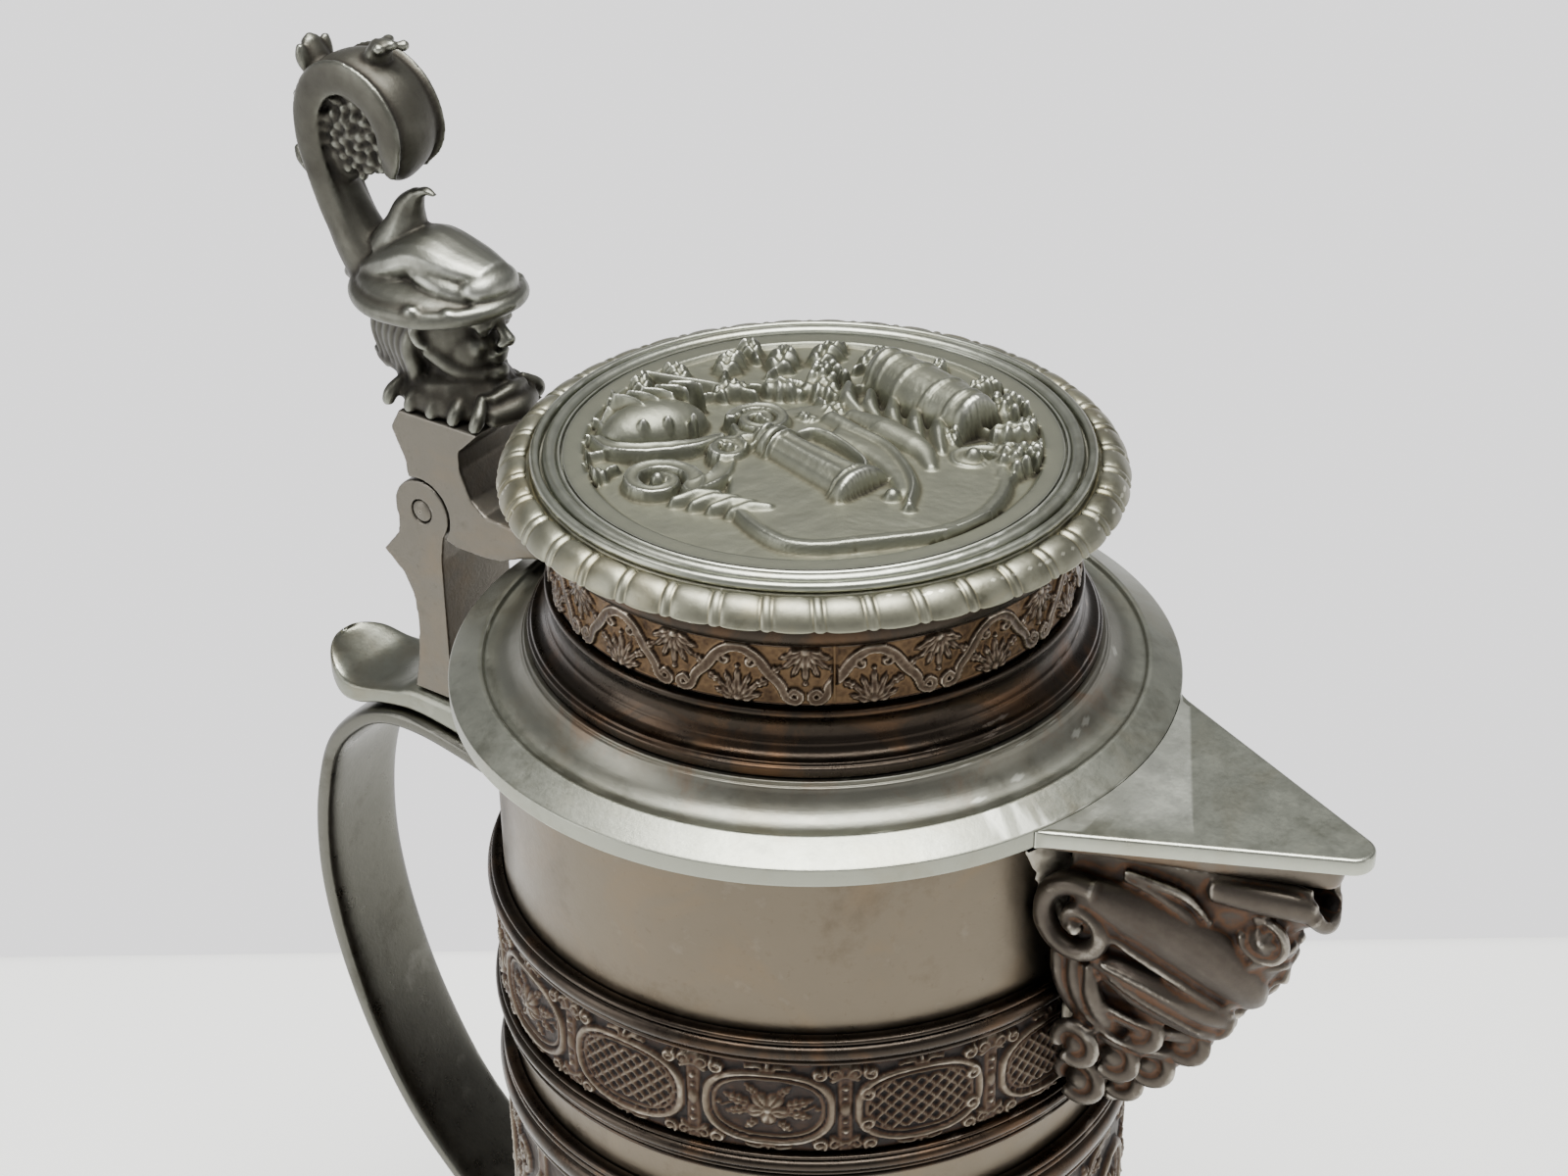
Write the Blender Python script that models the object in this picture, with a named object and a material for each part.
"""Lidded pewter pouring jug: cylindrical body with relief bands, flat flange,
covered triangular spout over a bearded mask, strap handle, and a raised drum
lid that swings on a rule joint under a thumbpiece shaped as a capped head
with a curled plume.

Frame: metres, +Z up, origin at the centre of the flat base.  The spout points
along +X, the handle and hinge along -X, and the hinge axis runs along Y.
"""
import math

import bmesh
import bpy
from mathutils import Matrix, Vector

# ---------------------------------------------------------------- dimensions
R = 0.058                 # outer radius of the flange; other radii follow it
FLANGE_Z = 0.197          # height of the flange's top outer edge
SEG = 32                  # facets of a full turn
GAP = 0.0003              # gap left between touching pieces

WALL_OUT = 0.885 * R      # outside of the cylindrical body
WALL = 0.0020             # wall thickness of the body
RING_IN = WALL_OUT + GAP  # inside of everything wrapped round the body
BASE_T = 0.0030

MOULD_OUT = 0.933 * R     # reach of the half-round mouldings
BAND_OUT = 0.912 * R      # mean surface of the relief bands

MOUTH_R = 0.700 * R       # opening in the shoulder
SEAT_Z = 0.118 * R        # seat of the lid above the flange edge

PIVOT_X = -1.280 * R      # hinge axis
PIVOT_Z = FLANGE_Z + 0.120 * R
KNUCKLE_R = 0.100 * R
HINGE_HALF = 0.150 * R    # half the width of bracket and lug
CENTRE_HALF = 0.082 * R   # half the width of the lug's middle knuckle
PIN_R = 0.0020
PIN_CLEAR = 0.00015

STRAP_HALF = 0.170 * R    # half the width of the handle strap
STRAP_T = 0.066 * R

SPOUT_HALF_ANGLE = math.radians(22.5)
SPOUT_TIP = 1.665 * R


def zf(v):
    """Height from a distance, in flange radii, above the flange edge."""
    return FLANGE_Z + v * R


# ---------------------------------------------------------------- clean start
for old in list(bpy.data.objects):
    bpy.data.objects.remove(old, do_unlink=True)


def principled(name, colour, roughness, metallic=1.0):
    mat = bpy.data.materials.new(name)
    mat.use_nodes = True
    node = mat.node_tree.nodes["Principled BSDF"]
    node.inputs["Base Color"].default_value = (*colour, 1.0)
    node.inputs["Roughness"].default_value = roughness
    node.inputs["Metallic"].default_value = metallic
    mat.diffuse_color = (*colour, 1.0)
    return mat


PEWTER = (0.33, 0.31, 0.275)
PEWTER_GREEN = (0.32, 0.325, 0.285)
PEWTER_DARK = (0.17, 0.165, 0.15)
BRONZED = (0.22, 0.155, 0.105)


def finish(name, bm, colour, roughness=0.42, origin=None):
    """Turn a bmesh into a named object with its own material."""
    bmesh.ops.remove_doubles(bm, verts=bm.verts, dist=1e-7)
    bmesh.ops.recalc_face_normals(bm, faces=bm.faces)
    mesh = bpy.data.meshes.new(name)
    if origin is not None:
        bmesh.ops.translate(bm, verts=bm.verts, vec=-Vector(origin))
    bm.to_mesh(mesh)
    bm.free()
    mesh.shade_smooth()
    mesh.set_sharp_from_angle(angle=math.radians(35))
    obj = bpy.data.objects.new(name, mesh)
    if origin is not None:
        obj.location = origin
    bpy.context.scene.collection.objects.link(obj)
    mesh.materials.append(principled(name, colour, roughness))
    return obj


def lathe(name, profile, colour, roughness=0.42, gap_deg=0.0, seg=SEG):
    """Turn a closed (r, z) outline round Z.

    gap_deg leaves an opening of that half angle about +X, with flat ends.
    """
    bm = bmesh.new()
    full = gap_deg <= 0.0
    if full:
        angles = [2 * math.pi * i / seg for i in range(seg)]
    else:
        g = math.radians(gap_deg)
        step = 2 * math.pi / seg
        inner = [k * step for k in range(seg) if k * step > g + 0.02
                 and k * step < 2 * math.pi - g - 0.02]
        # the ends lie on the chord of their own facet, so that the ring keeps
        # an even gap to the faceted body
        angles = [g] + inner + [2 * math.pi - g]

    def point(r, a, z):
        step = 2 * math.pi / seg
        k = math.floor(a / step + 1e-9)
        mid = (k + 0.5) * step
        on_vertex = abs(a / step - round(a / step)) < 1e-6
        rr = r if on_vertex else r * math.cos(step / 2) / math.cos(a - mid)
        return (rr * math.cos(a), rr * math.sin(a), z)

    rows = []
    for a in angles:
        rows.append([None if r < 1e-9 else bm.verts.new(point(r, a, z))
                     for r, z in profile])
    poles = {i: bm.verts.new((0, 0, z)) for i, (r, z) in enumerate(profile)
             if r < 1e-9}
    n = len(profile)
    cols = len(rows)
    for i in range(cols if full else cols - 1):
        a, b = rows[i], rows[(i + 1) % cols]
        for j in range(n):
            k = (j + 1) % n
            if a[j] is None and a[k] is None:
                continue
            if a[j] is None:
                bm.faces.new((poles[j], b[k], a[k]))
            elif a[k] is None:
                bm.faces.new((a[j], b[j], poles[k]))
            else:
                bm.faces.new((a[j], b[j], b[k], a[k]))
    if not full:
        bm.faces.new(rows[0])
        bm.faces.new(list(reversed(rows[-1])))
    return finish(name, bm, colour, roughness)


def slab(name, outline, half, colour, roughness=0.42, bevel=0.0, origin=None):
    """Extrude an (x, z) outline along Y to both sides."""
    bm = bmesh.new()
    face = bm.faces.new([bm.verts.new((x, -half, z)) for x, z in outline])
    out = bmesh.ops.extrude_face_region(bm, geom=[face])
    moved = [v for v in out["geom"] if isinstance(v, bmesh.types.BMVert)]
    bmesh.ops.translate(bm, verts=moved, vec=(0, 2 * half, 0))
    if bevel > 0:
        bmesh.ops.recalc_face_normals(bm, faces=bm.faces)
        rims = [e for e in bm.edges
                if abs(e.verts[0].co.y - e.verts[1].co.y) < 1e-9]
        bmesh.ops.bevel(bm, geom=rims, offset=bevel, segments=1,
                        affect="EDGES", profile=0.5)
    return finish(name, bm, colour, roughness, origin)


def loft(name, sections, colour, roughness=0.42, origin=None):
    """Skin a list of equal-length closed point loops and cap both ends."""
    bm = bmesh.new()
    rows = [[bm.verts.new(p) for p in loop] for loop in sections]
    n = len(rows[0])
    for a, b in zip(rows, rows[1:]):
        for j in range(n):
            k = (j + 1) % n
            bm.faces.new((a[j], a[k], b[k], b[j]))
    bm.faces.new(list(reversed(rows[0])))
    bm.faces.new(rows[-1])
    return finish(name, bm, colour, roughness, origin)


def cut(obj, cutter):
    """Subtract a cutter for good and take it away again."""
    mod = obj.modifiers.new("cut", "BOOLEAN")
    mod.operation = "DIFFERENCE"
    mod.solver = "EXACT"
    mod.object = cutter
    bpy.context.view_layer.update()
    graph = bpy.context.evaluated_depsgraph_get()
    done = bpy.data.meshes.new_from_object(obj.evaluated_get(graph))
    obj.modifiers.remove(mod)
    old = obj.data
    obj.data = done
    done.name = old.name + "_cut"
    bpy.data.meshes.remove(old)
    bpy.data.objects.remove(cutter, do_unlink=True)
    bm = bmesh.new()
    bm.from_mesh(obj.data)
    bmesh.ops.remove_doubles(bm, verts=bm.verts, dist=2e-6)
    bmesh.ops.dissolve_degenerate(bm, edges=bm.edges, dist=2e-6)
    bm.to_mesh(obj.data)
    bm.free()


def cylinder_y(name, x, z, radius, y0, y1, seg=24):
    """A round bar along Y."""
    loops = []
    for y in (y0, y1):
        loops.append([(x + radius * math.cos(2 * math.pi * i / seg), y,
                       z + radius * math.sin(2 * math.pi * i / seg))
                      for i in range(seg)])
    return loft(name, loops, PEWTER)


def block(name, x0, x1, y0, y1, z0, z1):
    bm = bmesh.new()
    bmesh.ops.create_cube(bm, size=1.0)
    bmesh.ops.scale(bm, verts=bm.verts, vec=(x1 - x0, y1 - y0, z1 - z0))
    bmesh.ops.translate(bm, verts=bm.verts,
                        vec=((x0 + x1) / 2, (y0 + y1) / 2, (z0 + z1) / 2))
    return finish(name, bm, PEWTER)


def smooth_path(points, per_span):
    """Catmull-Rom interpolation of equal-length tuples."""
    pts = [points[0]] + list(points) + [points[-1]]
    out = []
    for i in range(1, len(pts) - 2):
        p0, p1, p2, p3 = pts[i - 1], pts[i], pts[i + 1], pts[i + 2]
        for s in range(per_span):
            t = s / per_span
            out.append(tuple(
                0.5 * (2 * b + (c - a) * t + (2 * a - 5 * b + 4 * c - d) * t * t
                       + (3 * b - a - 3 * c + d) * t ** 3)
                for a, b, c, d in zip(p0, p1, p2, p3)))
    out.append(tuple(points[-1]))
    return out


# ---------------------------------------------------------------- the body
drum = lathe("body_drum", [
    (WALL_OUT - WALL, 0.0), (WALL_OUT, 0.0),
    (WALL_OUT, zf(-0.0496) - GAP), (WALL_OUT - WALL, zf(-0.0496) - GAP)],
    PEWTER, 0.40)
POUR_HALF, POUR_Z0, POUR_Z1 = 0.0085, zf(-0.46), zf(-0.17)
cut(drum, block("pour_cutter", 0.040, 0.070, -POUR_HALF, POUR_HALF,
                POUR_Z0, POUR_Z1))

lathe("base_plate", [(0, 0), (WALL_OUT - WALL - GAP, 0),
                     (WALL_OUT - WALL - GAP, BASE_T), (0, BASE_T)],
      PEWTER, 0.45)

lathe("foot_ring", [
    (RING_IN, 0.0), (1.055 * R, 0.0), (1.060 * R, 0.0042), (1.035 * R, 0.0060),
    (1.015 * R, 0.0105), (0.955 * R, 0.0143), (RING_IN, 0.0150)],
    PEWTER_DARK, 0.42)
lathe("foot_bead", [
    (RING_IN, 0.0153), (0.938 * R, 0.0156), (0.950 * R, 0.0176),
    (0.930 * R, 0.0196), (RING_IN, 0.0199)], PEWTER, 0.36)


def moulding(name, z_top, z_crest, z_bottom, reach, gap_deg=0.0):
    """Half-round moulding round the body."""
    lathe(name, [
        (RING_IN, z_bottom),
        (RING_IN + 0.45 * (reach - RING_IN), z_bottom),
        (reach, z_crest - 0.25 * (z_crest - z_bottom)),
        (reach, z_crest + 0.25 * (z_top - z_crest)),
        (RING_IN + 0.45 * (reach - RING_IN), z_top),
        (RING_IN, z_top)], PEWTER_DARK, 0.38, gap_deg)


def band(name, z_top, z_bottom, gap_deg=0.0):
    """Relief strip wrapped round the body between two mouldings."""
    lathe(name, [(RING_IN, z_bottom), (BAND_OUT, z_bottom),
                 (BAND_OUT, z_top), (RING_IN, z_top)], BRONZED, 0.5, gap_deg)


Z_MID = 0.1018            # mirror height of the three relief zones
Z1_TOP, Z1_CREST, Z1_LOW = zf(-0.601), zf(-0.642), zf(-0.683)
Z2_TOP, Z2_CREST, Z2_LOW = zf(-0.990), zf(-1.030), zf(-1.070)
Z3_TOP, Z3_CREST, Z3_LOW = zf(-1.218), zf(-1.292), zf(-1.352)

moulding("moulding_upper_top", Z1_TOP, Z1_CREST, Z1_LOW, MOULD_OUT, 11.4)
band("relief_band_upper", Z1_LOW - GAP, Z2_TOP + GAP, 9.8)
moulding("moulding_upper_bottom", Z2_TOP, Z2_CREST, Z2_LOW, MOULD_OUT, 5.8)
moulding("moulding_middle_top", Z3_TOP, Z3_CREST, Z3_LOW, 0.936 * R)
band("relief_band_middle", Z3_LOW - GAP, 2 * Z_MID - Z3_LOW + GAP)
moulding("moulding_middle_bottom", 2 * Z_MID - Z3_LOW, 2 * Z_MID - Z3_CREST,
         2 * Z_MID - Z3_TOP, 0.936 * R)
moulding("moulding_lower_top", 2 * Z_MID - Z2_LOW, 2 * Z_MID - Z2_CREST,
         2 * Z_MID - Z2_TOP, MOULD_OUT)
band("relief_band_lower", 2 * Z_MID - Z2_TOP - GAP, 2 * Z_MID - Z1_LOW + GAP)
moulding("moulding_lower_bottom", 2 * Z_MID - Z1_LOW, 2 * Z_MID - Z1_CREST,
         2 * Z_MID - Z1_TOP, MOULD_OUT)

lathe("shoulder_flange", [
    (1.000 * R, zf(-0.0496)), (1.000 * R, zf(0.0)), (0.9162 * R, zf(0.0425)),
    (0.893 * R, zf(0.031)), (0.858 * R, zf(0.036)), (0.818 * R, zf(0.064)),
    (0.794 * R, zf(0.102)), (0.790 * R, zf(SEAT_Z / R)),
    (MOUTH_R, zf(SEAT_Z / R)), (MOUTH_R, zf(0.070)),
    (0.842 * R, zf(-0.015)), (0.842 * R, zf(-0.0496))], PEWTER_GREEN, 0.36)

# ---------------------------------------------------------------- the spout
TIP_ROUND = 0.060 * R


def spout_outline(inset, root_r, tip_x, tip_round, steps=5):
    """Plan of the spout cover: an arc round the body, two straight sides and
    a rounded tip, as (x, y) points."""
    corner_a = SPOUT_HALF_ANGLE - math.asin(min(1.0, inset / R))
    cx, cy = R * math.cos(SPOUT_HALF_ANGLE), R * math.sin(SPOUT_HALF_ANGLE)
    centre_x = tip_x - tip_round
    # direction of the straight side, from the corner to the tip circle
    length = math.hypot(centre_x - cx, cy)
    base = math.atan2(-cy, centre_x - cx)
    swing = math.asin((tip_round - inset * 0.0) / length)
    side = base + swing
    normal = side + math.pi / 2
    pts = []
    arc = []
    for i in range(steps + 1):
        a = -corner_a + 2 * corner_a * i / steps
        arc.append((root_r * math.cos(a), root_r * math.sin(a)))
    pts.extend(reversed(arc))
    tip = []
    for i in range(steps + 1):
        a = -normal + 2 * normal * i / steps
        tip.append((centre_x + tip_round * math.cos(a),
                    tip_round * math.sin(a)))
    pts.extend(tip)
    return pts


def plate(name, outline, z0, z1, colour, roughness):
    loft(name, [[(x, y, z0) for x, y in outline],
                [(x, y, z1) for x, y in outline]], colour, roughness)


plate("spout_cover_plate",
      spout_outline(0.0, 1.000 * R + GAP, SPOUT_TIP, TIP_ROUND),
      zf(-0.0480), zf(0.0), PEWTER_GREEN, 0.34)
plate("spout_cover_moulding",
      spout_outline(0.042 * R, RING_IN + 0.0004, SPOUT_TIP - 0.070 * R,
                    0.050 * R),
      zf(-0.112), zf(-0.0480) - GAP, PEWTER, 0.40)

# the mask casting, as stations along X:
# (x, half width at the top, keel height, channel half width, channel floor)
STATIONS = [(0.9345, 0.272, -1.075, 0.148, -0.460),
            (1.0200, 0.262, -1.035, 0.142, -0.430),
            (1.1000, 0.235, -0.950, 0.134, -0.395),
            (1.1850, 0.204, -0.840, 0.118, -0.360),
            (1.2700, 0.172, -0.690, 0.097, -0.325),
            (1.3500, 0.140, -0.545, 0.077, -0.290),
            (1.4300, 0.108, -0.395, 0.058, -0.256),
            (1.4950, 0.084, -0.300, 0.046, -0.232),
            (1.5400, 0.078, -0.262, 0.046, -0.226)]
BACK_OUT = 0.0018         # thickness of the fillet plate behind the mask


def mask_section(x, half, keel, inner, floor):
    """A U: the outside tapers down to a narrow keel, the inside is the
    channel, open at the top under the cover."""
    top = -0.118
    sides = [(1.00, 0.00), (0.97, 0.15), (0.80, 0.36), (0.55, 0.62),
             (0.34, 0.84), (0.16, 1.00)]
    out = [(half * k, top + (keel - top) * d) for k, d in sides]
    pts = out + [(-y, z) for y, z in reversed(out)]
    pts += [(-inner, top), (-inner, floor + 0.25 * inner),
            (-inner * 0.6, floor), (inner * 0.6, floor),
            (inner, floor + 0.25 * inner), (inner, top)]
    return [(x * R, y * R, zf(z)) for y, z in pts]


loft("spout_mask", [mask_section(*row) for row in STATIONS], BRONZED, 0.45)


def back_plate():
    """Fillet plate that follows the body behind the mask and tapers down."""
    rows = [(-0.118, 0.300), (-0.200, 0.272), (-0.400, 0.205), (-0.600, 0.158),
            (-0.700, 0.130), (-0.850, 0.104), (-0.980, 0.072),
            (-1.100, 0.042)]
    step = 2 * math.pi / SEG
    bm = bmesh.new()
    grid = []
    for v, half in rows:
        a = math.asin(half / 0.9)
        angles = [-a, -a * 0.5, 0.0, a * 0.5, a]
        # keep clear of the facets between two vertices of the body
        line = []
        for ang in angles:
            k = math.floor(ang / step + 1e-9)
            mid = (k + 0.5) * step
            f = math.cos(step / 2) / math.cos(ang - mid)
            line.append((ang, max(f, 0.0)))
        outer = [bm.verts.new(((RING_IN + BACK_OUT) * math.cos(t),
                               (RING_IN + BACK_OUT) * math.sin(t), zf(v)))
                 for t, f in line]
        inner = [bm.verts.new((RING_IN * math.cos(t), RING_IN * math.sin(t),
                               zf(v))) for t, f in line]
        grid.append((outer, inner))
    for (o0, i0), (o1, i1) in zip(grid, grid[1:]):
        for j in range(4):
            bm.faces.new((o0[j], o0[j + 1], o1[j + 1], o1[j]))
            bm.faces.new((i0[j + 1], i0[j], i1[j], i1[j + 1]))
        bm.faces.new((i0[0], o0[0], o1[0], i1[0]))
        bm.faces.new((o0[4], i0[4], i1[4], o1[4]))
    for o, i in (grid[0], grid[-1]):
        for j in range(4):
            bm.faces.new((o[j], o[j + 1], i[j + 1], i[j]))
    return finish("spout_back_plate", bm, PEWTER, 0.5)


cut(back_plate(), block("back_cutter", 0.040, 0.070, -POUR_HALF, POUR_HALF,
                        POUR_Z0, POUR_Z1))

# ---------------------------------------------------------------- the handle
STRAP_LINE = [(-0.941, -0.742), (-1.060, -0.712), (-1.200, -0.676),
              (-1.360, -0.652), (-1.500, -0.665), (-1.620, -0.730),
              (-1.730, -0.860), (-1.800, -1.080), (-1.822, -1.330),
              (-1.800, -1.560), (-1.740, -1.800), (-1.650, -2.030),
              (-1.520, -2.260), (-1.350, -2.450), (-1.160, -2.610),
              (-0.990, -2.740), (-0.8955, -2.830)]


def strap():
    path = smooth_path(STRAP_LINE, 2)
    sections = []
    n = len(path)
    for i, (s, v) in enumerate(path):
        a = path[max(i - 1, 0)]
        b = path[min(i + 1, n - 1)]
        t = Vector((b[0] - a[0], 0, b[1] - a[1])).normalized()
        if i in (0, n - 1):
            t = Vector((-1, 0, 0)) if i == 0 else Vector((1, 0, 0))
        nrm = Vector((0, 1, 0)).cross(t)
        c = Vector((s * R, 0, zf(v)))
        end = 1.55 if i in (0, n - 1) else (1.2 if i in (1, n - 2) else 1.0)
        h, w = STRAP_T / 2 * end, STRAP_HALF
        ring = []
        for y, d in ((-w, -0.55), (-w, 0.55), (-0.86 * w, 1.0), (0.86 * w, 1.0),
                     (w, 0.55), (w, -0.55), (0.86 * w, -1.0), (-0.86 * w, -1.0)):
            ring.append(tuple(c + nrm * (d * h) + Vector((0, y, 0))))
        sections.append(ring)
    return loft("handle_strap", sections, PEWTER_DARK, 0.40)


strap()

# spoon-shaped thumb rest on top of the strap, under the hinge bracket
TOP = STRAP_T / 2 / R + 0.0065
REST = [(-1.120, -0.520), (-1.380, -0.512), (-1.450, -0.540),
        (-1.560, -0.575), (-1.660, -0.580), (-1.745, -0.535), (-1.795, -0.535),
        (-1.790, -0.580), (-1.735, -0.635), (-1.660, -0.672),
        (-1.600, -0.665), (-1.500, -0.665 + TOP), (-1.360, -0.652 + TOP),
        (-1.200, -0.676 + TOP), (-1.120, -0.697 + TOP)]
slab("handle_thumb_rest", [(s * R, zf(v)) for s, v in REST], 0.165 * R,
     PEWTER, 0.38)

# ---------------------------------------------------------------- the hinge


def arc_points(cx, cz, radius, a0, a1, steps):
    return [(cx + radius * math.cos(math.radians(a0 + (a1 - a0) * i / steps)),
             cz + radius * math.sin(math.radians(a0 + (a1 - a0) * i / steps)))
            for i in range(steps + 1)]


px, pz = PIVOT_X / R, (PIVOT_Z - FLANGE_Z) / R
kr = KNUCKLE_R / R
bracket_outline = ([(-1.362, -0.506), (-1.340, -0.400), (-1.328, -0.271),
                    (-1.338, -0.180), (-1.370, -0.113), (-1.440, -0.052),
                    (-1.378, 0.022)]
                   + [(x, z) for x, z in
                      arc_points(px, pz, kr, 205, -38, 12)]
                   + [(-1.207, 0.035), (-1.216, -0.029), (-1.216, -0.506)])
bracket = slab("hinge_bracket", [(s * R, zf(v)) for s, v in bracket_outline],
               HINGE_HALF, PEWTER, 0.42)
cut(bracket, block("slot_cutter", -1.60 * R, -1.10 * R,
                   -CENTRE_HALF - GAP, CENTRE_HALF + GAP,
                   zf(pz - kr) - 0.0010, zf(0.40)))
cut(bracket, cylinder_y("pin_cutter", PIVOT_X, PIVOT_Z, PIN_R + PIN_CLEAR,
                        -0.02, 0.02))

cylinder_y("hinge_pin", PIVOT_X, PIVOT_Z, PIN_R, -HINGE_HALF, HINGE_HALF)
bpy.data.objects["hinge_pin"].data.materials[0].node_tree.nodes[
    "Principled BSDF"].inputs["Roughness"].default_value = 0.3

hinge = bpy.data.objects.new("lid_hinge_axis", None)
hinge.location = (PIVOT_X, 0, PIVOT_Z)
bpy.context.scene.collection.objects.link(hinge)

lug_outline = ([(-1.335, 0.436), (-1.372, 0.372), (-1.329, 0.283),
                (-1.320, 0.216)]
               + arc_points(px, pz, kr - 0.004, 112, 318, 12)
               + [(-1.150, 0.037), (-1.050, 0.036), (-0.985, 0.046),
                  (-0.920, 0.074), (-0.840, 0.100), (-0.788, 0.126),
                  (-0.788, 0.168), (-0.937, 0.166), (-1.038, 0.176),
                  (-1.085, 0.215), (-1.120, 0.300), (-1.120, 0.360),
                  (-1.040, 0.436)])
lug = slab("lid_hinge_lug", [(s * R, zf(v)) for s, v in lug_outline],
           HINGE_HALF, PEWTER, 0.42)
for side in (-1, 1):
    y0, y1 = sorted((side * CENTRE_HALF, side * 0.02))
    cut(lug, cylinder_y("knuckle_cutter", PIVOT_X, PIVOT_Z,
                        KNUCKLE_R + 0.0004, y0, y1, 32))
cut(lug, cylinder_y("pin_cutter", PIVOT_X, PIVOT_Z, PIN_R + PIN_CLEAR,
                    -0.02, 0.02))

# ---------------------------------------------------------------- the lid
g = GAP / R
lathe("lid_bezel", [
    (0.665 * R, zf(0.020)), (0.690 * R, zf(0.020)), (0.690 * R, zf(0.205)),
    (0.665 * R, zf(0.205))], PEWTER_DARK, 0.45)
lathe("lid_base_ring", [
    (0.690 * R + GAP, zf(SEAT_Z / R + g)), (0.774 * R, zf(SEAT_Z / R + g)),
    (0.7783 * R, zf(0.1481)), (0.742 * R, zf(0.166)), (0.7245 * R, zf(0.192)),
    (0.7201 * R, zf(0.2830)), (0.690 * R + GAP, zf(0.2830))],
    PEWTER_DARK, 0.34)
lathe("lid_drum", [
    (0.665 * R, zf(0.2125)), (0.690 * R, zf(0.2125)), (0.690 * R, zf(0.568)),
    (0.665 * R, zf(0.568))], PEWTER_DARK, 0.45)
lathe("lid_frieze", [
    (0.690 * R + GAP, zf(0.2890)), (0.708 * R, zf(0.2890)),
    (0.712 * R, zf(0.4640)), (0.690 * R + GAP, zf(0.4640))], BRONZED, 0.5)
lathe("lid_upper_bead", [
    (0.690 * R + GAP, zf(0.470)), (0.722 * R, zf(0.470)),
    (0.740 * R, zf(0.505)), (0.722 * R, zf(0.545)),
    (0.690 * R + GAP, zf(0.566))], PEWTER_DARK, 0.38)
lathe("lid_gadroon_rim", [
    (0.700 * R, zf(0.5735)), (0.818 * R, zf(0.5735)),
    (0.8344 * R, zf(0.5807)), (0.826 * R, zf(0.602)), (0.796 * R, zf(0.624)),
    (0.752 * R, zf(0.634)), (0.700 * R, zf(0.634))], PEWTER_GREEN, 0.38)
lathe("lid_plate", [(0, zf(0.590)), (0.700 * R - GAP, zf(0.590)),
                    (0.700 * R - GAP, zf(0.628)), (0, zf(0.628))],
      PEWTER_GREEN, 0.38)
lathe("lid_outer_bead", [
    (0.718 * R, zf(0.6395)), (0.7453 * R, zf(0.6395)),
    (0.741 * R, zf(0.655)), (0.724 * R, zf(0.660)),
    (0.718 * R, zf(0.652))], PEWTER_GREEN, 0.32)
lathe("lid_inner_torus", [
    (0.664 * R, zf(0.6395)), (0.7125 * R, zf(0.6395)),
    (0.706 * R, zf(0.655)), (0.690 * R, zf(0.662)), (0.672 * R, zf(0.656))],
    PEWTER_GREEN, 0.30)
lathe("lid_medallion", [(0, zf(0.6335)), (0.6585 * R, zf(0.6335)),
                        (0.6585 * R, zf(0.652)), (0.640 * R, zf(0.655)),
                        (0, zf(0.655))], PEWTER_GREEN, 0.42)

# ---------------------------------------------------------------- thumbpiece
THUMB_PATH = [(-1.225, 0.442, 0.190, 0.112), (-1.232, 0.520, 0.205, 0.112),
           (-1.255, 0.600, 0.245, 0.135), (-1.270, 0.700, 0.262, 0.150),
           (-1.345, 0.800, 0.220, 0.145), (-1.450, 0.880, 0.140, 0.115),
           (-1.560, 0.950, 0.098, 0.092), (-1.640, 1.050, 0.082, 0.085),
           (-1.672, 1.170, 0.076, 0.085), (-1.650, 1.275, 0.074, 0.088),
           (-1.580, 1.345, 0.072, 0.092), (-1.490, 1.362, 0.070, 0.092),
           (-1.405, 1.325, 0.068, 0.090), (-1.362, 1.250, 0.062, 0.085),
           (-1.368, 1.170, 0.052, 0.070), (-1.405, 1.110, 0.034, 0.050)]


def thumbpiece():
    path = smooth_path(THUMB_PATH, 1)
    sections = []
    n = len(path)
    for i, (s, v, a, b) in enumerate(path):
        p = path[max(i - 1, 0)]
        q = path[min(i + 1, n - 1)]
        t = Vector((q[0] - p[0], 0, q[1] - p[1])).normalized()
        if i == 0:
            t = Vector((0, 0, 1))
        nrm = Vector((0, 1, 0)).cross(t)
        c = Vector((s * R, 0, zf(v)))
        ring = []
        for k in range(12):
            w = 2 * math.pi * k / 12
            e = 0.8
            ca = math.copysign(abs(math.cos(w)) ** e, math.cos(w))
            sa = math.copysign(abs(math.sin(w)) ** e, math.sin(w))
            ring.append(tuple(c + nrm * (ca * a * R)
                              + Vector((0, sa * b * R, 0))))
        sections.append(ring)
    return loft("thumbpiece", sections, PEWTER_DARK, 0.45)


thumbpiece()

# the lid's pieces turn together about the hinge axis
for child in ("lid_hinge_lug", "lid_bezel", "lid_base_ring", "lid_drum",
              "lid_frieze", "lid_upper_bead", "lid_gadroon_rim", "lid_plate",
              "lid_outer_bead", "lid_inner_torus", "lid_medallion",
              "thumbpiece"):
    piece = bpy.data.objects[child]
    piece.parent = hinge
    piece.matrix_parent_inverse = Matrix.Translation(-hinge.location)
